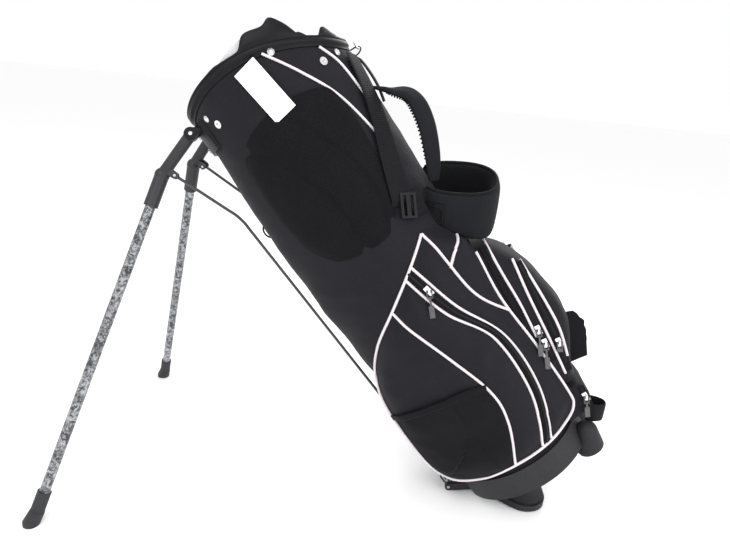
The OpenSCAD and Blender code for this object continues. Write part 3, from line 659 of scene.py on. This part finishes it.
def lofted_box(name, s_list, t_list, w_list, inner, mat, power=0.4, n=61, ns=50, **kw):
    s = np.linspace(s_list[0], s_list[-1], ns)
    depth, w = np.interp(s, s_list, t_list), np.interp(s, s_list, w_list)
    k = np.linspace(-1, 1, n) * math.pi / 2
    Y = np.sign(np.sin(k)) * np.abs(np.sin(k)) ** power * w[:, None]
    T = inner + (depth[:, None] - inner) * np.abs(np.cos(k)) ** power + 0.6 * ripple(Y, s[:, None] + 0 * Y, 50, 21)
    P = np.stack([T, Y, s[:, None] + 0 * Y], -1)
    uv = np.stack([Y * 1.3, s[:, None] + 0 * Y], -1).reshape(-1, 2)
    return build(name, P.reshape(-1, 3), [f[::-1] for f in grid_faces(ns, n)], mat, uv=uv, **kw)


lofted_box("small_pocket_cloth", [50, 56, 64, 78, 96, 106, 112], [134, 150, 158, 161, 160, 152, 130],
           [50, 54, 55.5, 55.5, 55.5, 54, 48], 98, "nylon", power=0.2, cad="small_pocket", slot="nylon")
for side, tag in ((-1, "near"), (1, "far")):
    low_zip = smooth([(153, side * 54.4, 101), (152, side * 54.6, 81), (150.5, side * 54.2, 62)], 12)
    sweep(f"low_zip_tape_{tag}", low_zip, (0.1, side, 0), band(10, 1.6), "tight_mesh", slot="mesh")
    sweep(f"low_zip_coil_{tag}", low_zip + [0, side * 0.7, 0], (0.1, side, 0), band(4, 1.8), "moulded", slot="pull")


# ---- Straps ----
def to_bag(p):
    """Row millimetres back to bag millimetres."""
    p = np.asarray(p, float)
    x, z = p[..., 0], p[..., 2] - HINGE[2]
    return np.stack([x * math.cos(LEAN) + z * math.sin(LEAN) + HINGE[0], p[..., 1],
                     -x * math.sin(LEAN) + z * math.cos(LEAN) + HINGE[1]], -1)


def bag_like(v):
    """Row direction to bag direction."""
    return to_bag(np.asarray(v, float)) - to_bag(np.zeros(3))


LOOP_C = row([149, -8, 476]) * 1000
LOOP_R = np.array(Matrix.Rotation(math.radians(-3), 3, "Y") @ Matrix.Rotation(math.radians(19), 3, "X"))


def on_loop(angle, grow=0.0, up=0.0):
    """A point of the belt loop and its outward direction, bag millimetres."""
    a = np.radians(np.asarray(angle, float))
    x = np.sign(np.cos(a)) * np.abs(np.cos(a)) ** 0.8 * (60 + grow)
    y = np.sign(np.sin(a)) * np.abs(np.sin(a)) ** 0.8 * (54 + grow)
    up = np.broadcast_to(up, x.shape)
    out = np.stack([np.cos(a), np.sin(a), 0 * a], -1)
    return to_bag(LOOP_C + np.stack([x, y, up], -1) @ LOOP_R.T), bag_like(out @ LOOP_R.T)


def loop_strap():
    # Deeper towards its free side, with a level upper edge
    a = np.linspace(-142, 148, 96)
    wide = 1.0 + 0.3 * np.clip(0.25 + 0.75 * np.cos(np.radians(a)), 0, 1)
    rise = -33.0 * (wide - 1.0)
    p, out = on_loop(a, up=rise)
    sweep("loop_strap_pad", p, out, band(66, 10, n=26, edge=0.3, crown=1.5), "pad", cad="loop_strap", slot="mesh",
          scale=np.stack([wide, 0 * wide + 1], 1))
    for sgn, label in ((1, "up"), (-1, "low")):
        q, o = on_loop(a, up=rise + sgn * 32.5 * wide)
        sweep(f"loop_binding_{label}", q, o, circle(3.0, 10), "dark", slot="webbing")
    # Webbing patch from the buckle over the near end of the loop, box stitched with a cross
    q, o = on_loop(np.array([-134.0, -124, -114, -104]), grow=8.5, up=-2.0)
    start = wall(np.array([-48.0, -41, -35]), np.array([517.0, 513, 510]), np.array([6.5, 5, 5]))
    path = smooth(np.vstack([start, q]), 10)
    turn = np.clip(np.linspace(-0.6, 1.4, len(path)), 0, 1)[:, None]
    hint = outward(path) * (1 - turn) + bag_like(
        np.broadcast_to(LOOP_R @ np.array([-0.45, -0.9, 0]), path.shape)) * turn
    sweep("strap_patch", path, hint, band(37, 3, n=14, edge=0.2), "webbing", slot="webbing")
    t, sd, n = frames(path, hint)
    box = [(0.55, -14), (0.55, 14), (0.97, 14), (0.97, -14), (0.55, -14), (0.97, 14), (0.97, -14), (0.55, 14)]
    seam_pts = []
    for (u0, v0), (u1, v1) in zip(box[:-1], box[1:]):
        for k in np.linspace(0, 1, 8):
            u = (u0 + (u1 - u0) * k) * (len(path) - 1)
            i = int(round(u))
            seam_pts.append(path[i] + sd[i] * (v0 + (v1 - v0) * k) + n[i] * 2.0)
    seam_pts = resample(np.array(seam_pts), 90)
    sweep("strap_patch_stitch", seam_pts, n[len(path) // 2], circle(0.7, 6), "pad")


loop_strap()
ARCH = smooth([(133, -20, 688), (152, -22, 669), (174, -24, 645), (172, -27, 604), (154, -29, 556),
               (134, -30, 520)], 16)
arch_t = np.linspace(0, 1, len(ARCH))
arch_k = np.sin(np.pi * arch_t)
arch_scale = np.stack([0.5 + 0.5 * np.sqrt(arch_k), 0.4 + 0.75 * arch_k], 1)
twist = np.clip((arch_t - 0.15) / 0.35, 0, 1) * 0.75
ARCH_HINT = np.stack([np.cos(twist), -np.sin(twist), 0.2 + 0 * twist], 1)
sweep("arch_handle", ARCH, ARCH_HINT, band(34, 11, n=16, edge=0.5), "pad", scale=arch_scale, cad="arch_strap",
      slot="mesh")
ribs = []
_, sd, nn = frames(ARCH, ARCH_HINT)
for i in range(14, len(ARCH) - 14, 2):
    k = arch_scale[i]
    seg = ARCH[i] + sd[i] * np.linspace(-15, 15, 7)[:, None] * k[0]
    ribs.append(sweep(f"arch_rib_{i}", seg - nn[i] * 5.2 * k[1], nn[i], circle(1.5, 6), "dark"))
join("arch_ribs", ribs)

web = smooth([(-13, 745), (-25, 670), (-41, 590), (-52, 524)], 18)
slack = 1.5 * np.sin(np.linspace(0, math.pi, len(web))) - 2.5 * (web[:, 1] < 530)
web_path = wall(web[:, 0], web[:, 1], 5 + slack)
sweep("strap_webbing_near", web_path, outward(web_path), band(34, 2.6, n=14, edge=0.2), "webbing",
      cad="strap_webbing", slot="webbing")
spine = smooth([(133, 4, 741), (138, 4, 733), (140, 4, 712), (139, 4, 686), (134, 4, 662)], 8)
sweep("spine_handle_webbing", spine, (1, 0, 0), band(26, 4, n=12), "webbing", cad="spine_handle", slot="webbing")
grab = [(152, -33.5), (168, -33.5), (183, -25), (183, -9), (168, -0.5), (152, -0.5)]
grab = smooth(np.column_stack([grab, np.full(len(grab), 200.0)]), 12)
grab_out = np.column_stack([grab[:, 0] - 165, (grab[:, 1] + 17) * 1.3, 0 * grab[:, 0]])
sweep("grab_loop_webbing", to_bag(grab), bag_like(grab_out), band(32, 2.6, n=12), "webbing", cad="grab_loop",
      slot="webbing")
tether = smooth([(-140, 0, 614), (-150, 0, 607), (-153, 0, 598), (-150, 0, 589), (-140, 0, 583)], 6)
sweep("rod_tether_webbing", tether, (0, 1, 0), circle(1.6, 8), "webbing", cad="rod_tether", slot="webbing")
tab = smooth([(131, 35, 745), (142, 35, 747), (147, 35, 751.5), (142, 35, 756), (131, 35, 757)], 9)
sweep("d_ring_webbing", tab, tab - np.array([141, 35, 751.5]), band(13, 1.5), "webbing", cad="d_ring_tab",
      slot="webbing")

# Glove tab: a strip of hook tape standing off the pocket front, its free edge scalloped
tab_k = np.linspace(0, 1, 61)
inner_e = np.stack([np.interp(tab_k, [0, 0.35, 0.7, 1], [194, 181, 166, 158]), 212 - 86 * tab_k], 1)
outer_e = np.stack([np.interp(tab_k, [0, 0.3, 0.6, 1], [208, 214, 206, 190]), 208 - 84 * tab_k], 1)
outer_e[:, 0] += 1.6 * np.abs(np.sin(tab_k * 16)) * np.clip((0.75 - tab_k) * 6, 0, 1)
w = np.linspace(0, 1, 13)
sheet = inner_e[:, None] + (outer_e - inner_e)[:, None] * w[None, :, None]
bend = -12 + 1.5 * np.sin(tab_k[:, None] * 3) - 2.5 * w[None] ** 2
for_side = [np.stack([sheet[..., 0], bend + d, sheet[..., 1]], -1).reshape(-1, 3) for d in (-1.3, 1.3)]
nu, nv = len(tab_k), len(w)
gf, nb = grid_faces(nu, nv), nu * nv
ring = [i * nv for i in range(nu)] + [(nu - 1) * nv + j for j in range(1, nv)] \
    + [i * nv + nv - 1 for i in range(nu - 2, -1, -1)] + list(range(nv - 2, 0, -1))
side_f = [(a, b, nb + b, nb + a) for a, b in zip(ring, ring[1:] + ring[:1])]
build("glove_tab_tape", np.vstack(for_side), gf + [tuple(nb + k for k in f[::-1]) for f in gf] + side_f,
      "webbing", uv=np.vstack([for_side[0][:, [0, 2]]] * 2), cad="glove_tab", slot="webbing")

# ---- Cuff ----
def bell(x, middle, width):
    return np.exp(-((x - middle) / width) ** 2)


def step(x, at, width):
    return 1 / (1 + np.exp(-(x - at) / width))


def rim_rise(th):
    """Height of the cuff rim over its seam: a narrow and a wide, peaked tab on each flank, between low humps."""
    a = np.abs((np.asarray(th, float) + 180) % 360 - 180)
    wide_tab = 22 * (step(a, 49, 1.3) - step(a, 81.5, 2)) + 11 * bell(a, 58, 5)
    humps = 3 * bell(a, 0, 12) + 3 * bell(a, 103, 6) + 5 * bell(a, 180, 20)
    return 9 + 19 * bell(a, 24.5, 7) + wide_tab + humps


def cuff():
    th = np.linspace(-180, 180, 541)[:-1]
    base, rise = seam(th), rim_rise(th)
    # (share of the rise, fixed millimetres, push outwards)
    prof = [(0, -6, 0.4), (0, -1, 0.8), (0, 0, 2.6), (0, 3, 3.4), (0, 6.5, 3.2), (0, 7.3, 2.3), (0, 8.1, 3.2),
            (0.4, 6, 3.0), (0.75, 1, 2.2), (1, -2.5, 1.2), (1, -0.8, 0.4), (1, 0, -1.2), (1, -0.4, -3.0),
            (1, -2.5, -4.6), (0.5, -2, -5.6), (0, -14, -5.8), (0, -30, -5.8)]
    pts = []
    for share, mm, off in prof:
        s = base + share * np.maximum(rise, 9.5) + mm
        pts.append(wall(th, s, off))
    P = np.stack(pts, 1)
    uv = np.stack([np.repeat(th[:, None] * DEG, len(prof), 1), P[..., 2]], -1).reshape(-1, 2)
    return build("cuff_shell", P.reshape(-1, 3), grid_faces(len(th), len(prof), wrap_u=True), "moulded", uv=uv,
                 cad="cuff", slot="moulded")


cuff()


def liner():
    th = np.linspace(-180, 180, 361)[:-1]
    k = np.linspace(0, 1, 30)
    T, K = np.meshgrid(th, k, indexing="ij")
    # Stretched straight across the scallop on each flank
    side_angle = np.abs(T)
    scallop = (side_angle > 78) & (side_angle < 101)
    top = seam(T) + np.where(scallop, 27 - (side_angle - 78) * 15 / 23, rim_rise(T) - 4)
    S = 660 + K * (top - 660)
    off = -7.5 + 0.6 * ripple(T * DEG, S, 60, 31)
    P = wall(T, S, off)
    uv = np.stack([T * DEG, S], -1).reshape(-1, 2)
    return build("cuff_liner_knit", P.reshape(-1, 3), [f[::-1] for f in grid_faces(len(th), len(k), wrap_u=True)],
                 "liner", uv=uv, cad="cuff_liner", slot="liner")


liner()


def divider(name, ends, hint, cad=None):
    """A padded felt wall between the club wells with a bound upper edge."""
    path = np.linspace(ends[0], ends[1], 40)
    wave = 0.5 * np.sin(np.linspace(0, 9, 40))[:, None] * np.asarray(hint, float)
    tall = DIVIDER_TOP - DIVIDER_LOW
    sweep(name, path + wave, hint, band(tall, 7.4, n=20, edge=0.2), "divider", cad=cad, slot="liner")
    top = (path + wave)[1:-1] + [0, 0, tall / 2 - 0.6]
    sweep(name + "_binding", top, hint, band(8.4, 8.8, n=14, edge=0.5), "dark", slot="webbing")


DIVIDER_LOW, DIVIDER_TOP = 700.0, 756.0
mid = (DIVIDER_LOW + DIVIDER_TOP) / 2
divider("divider_long", ((-118, 0, mid), (118, 0, mid)), (0, 1, 0), "long_divider")
for side, label in ((-1, "near"), (1, "far")):
    for t, where in ((-40, "low"), (40, "high")):
        divider(f"divider_{label}_{where}", ((t, side * 5, mid), (t, side * 96, mid)), (1, 0, 0),
                "cross_dividers" if side < 0 < t else None)

# ---- Actuator rods: one bent wire each ----
PIVOT = np.array([-134.0, -56, 788])
ROD_TOP, KNEE = PIVOT + [-58, -8, -35], np.array([-150.0, -56, 642])
HOOK = np.array([-90 - 61.5 * math.cos(math.radians(26)), -16, 4 + 61.5 * math.sin(math.radians(26))])
for side, tag in ((1, "near"), (-1, "far")):
    flip = np.array([1, side, 1])
    u = (KNEE - ROD_TOP) / np.linalg.norm(KNEE - ROD_TOP)
    l = (HOOK - KNEE) / np.linalg.norm(HOOK - KNEE)
    wire = [ROD_TOP + u * 2, ROD_TOP + u * 30, ROD_TOP + u * 60, KNEE - u * 25, KNEE - u * 9, KNEE + l * 9,
            KNEE + l * 25, KNEE + l * 120, KNEE + l * 260, KNEE + l * 400, HOOK - l * 60, HOOK - l * 18]
    path = smooth(np.array(wire) * flip, 8)
    ob = sweep(f"rod_{tag}_wire", path, (0, 1, 0), circle(2.4, 12), "rod_steel", body=None,
               cad=[f"rod_upper_{tag}"], slot="rod_steel")
    start, end = row((KNEE - u * 12) * flip), row((KNEE + l * 12) * flip)
    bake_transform(ob)
    # Long eye at the pedal end
    a = np.linspace(0, 2 * math.pi, 40, endpoint=False)
    c0, c1 = HOOK, HOOK - l * 12
    perp = np.cross(l, [0, 1, 0])
    eye = []
    for x in a:
        c = c0 if math.cos(x) > 0 else c1
        eye.append(c + l * 6.8 * math.cos(x) + perp * 6.8 * math.sin(x))
    sweep(f"rod_{tag}_long_eye", np.array(eye) * flip, (0, 1, 0), circle(1.6, 8), "rod_steel", closed=True,
          body=f"rod_lower_{tag}", cad=[f"rod_lower_{tag}"], slot="rod_steel")

# ---- Floor, light, camera ----
bpy.ops.mesh.primitive_plane_add(size=80, location=(0, 0, -0.0005))
floor = bpy.context.object
floor.name = "floor"
floor.data.materials.append(MAT["floor"])

world = bpy.data.worlds.new("studio")
bpy.context.scene.world = world
world.use_nodes = True
world.node_tree.nodes["Background"].inputs["Color"].default_value = (1, 1, 1, 1)
world.node_tree.nodes["Background"].inputs["Strength"].default_value = 1.0


def area(name, loc, target, size, power):
    data = bpy.data.lights.new(name, "AREA")
    data.size, data.energy = size, power
    ob = bpy.data.objects.new(name, data)
    bpy.context.scene.collection.objects.link(ob)
    ob.location = loc
    ob.rotation_euler = (Vector(target) - Vector(loc)).to_track_quat("-Z", "Y").to_euler()
    return ob


area("key", (-0.9, -2.2, 2.4), (-0.1, 0, 0.4), 1.8, 45)
area("fill", (1.8, -1.6, 1.4), (-0.1, 0, 0.3), 1.8, 30)
area("rim", (0.6, 2.2, 2.2), (-0.2, 0, 0.4), 1.6, 30)

# Camera: turn, tilt and roll in radians, focal length in pixels of a picture 730 wide
PSI, PHI, ROLL, FOCAL, PICTURE_W = 0.054, 0.315, 0.101, 569.7, 730
CAMERA_AT = (-0.204, -0.925, 0.692)
back = Vector((math.sin(PSI) * math.cos(PHI), -math.cos(PSI) * math.cos(PHI), math.sin(PHI)))
right = (-back).cross(Vector((0, 0, 1))).normalized()
up = right.cross(-back)
right, up = (math.cos(ROLL) * right + math.sin(ROLL) * up, -math.sin(ROLL) * right + math.cos(ROLL) * up)
cam_data = bpy.data.cameras.new("camera")
cam = bpy.data.objects.new("camera", cam_data)
bpy.context.scene.collection.objects.link(cam)
cam_data.sensor_width = 36.0
cam_data.lens = FOCAL * cam_data.sensor_width / PICTURE_W
rot = Matrix((right, up, back)).transposed().to_4x4()
cam.matrix_world = Matrix.Translation(CAMERA_AT) @ rot
cam_data.clip_start = 0.01
bpy.context.scene.camera = cam
bpy.context.scene.view_settings.view_transform = "Standard"
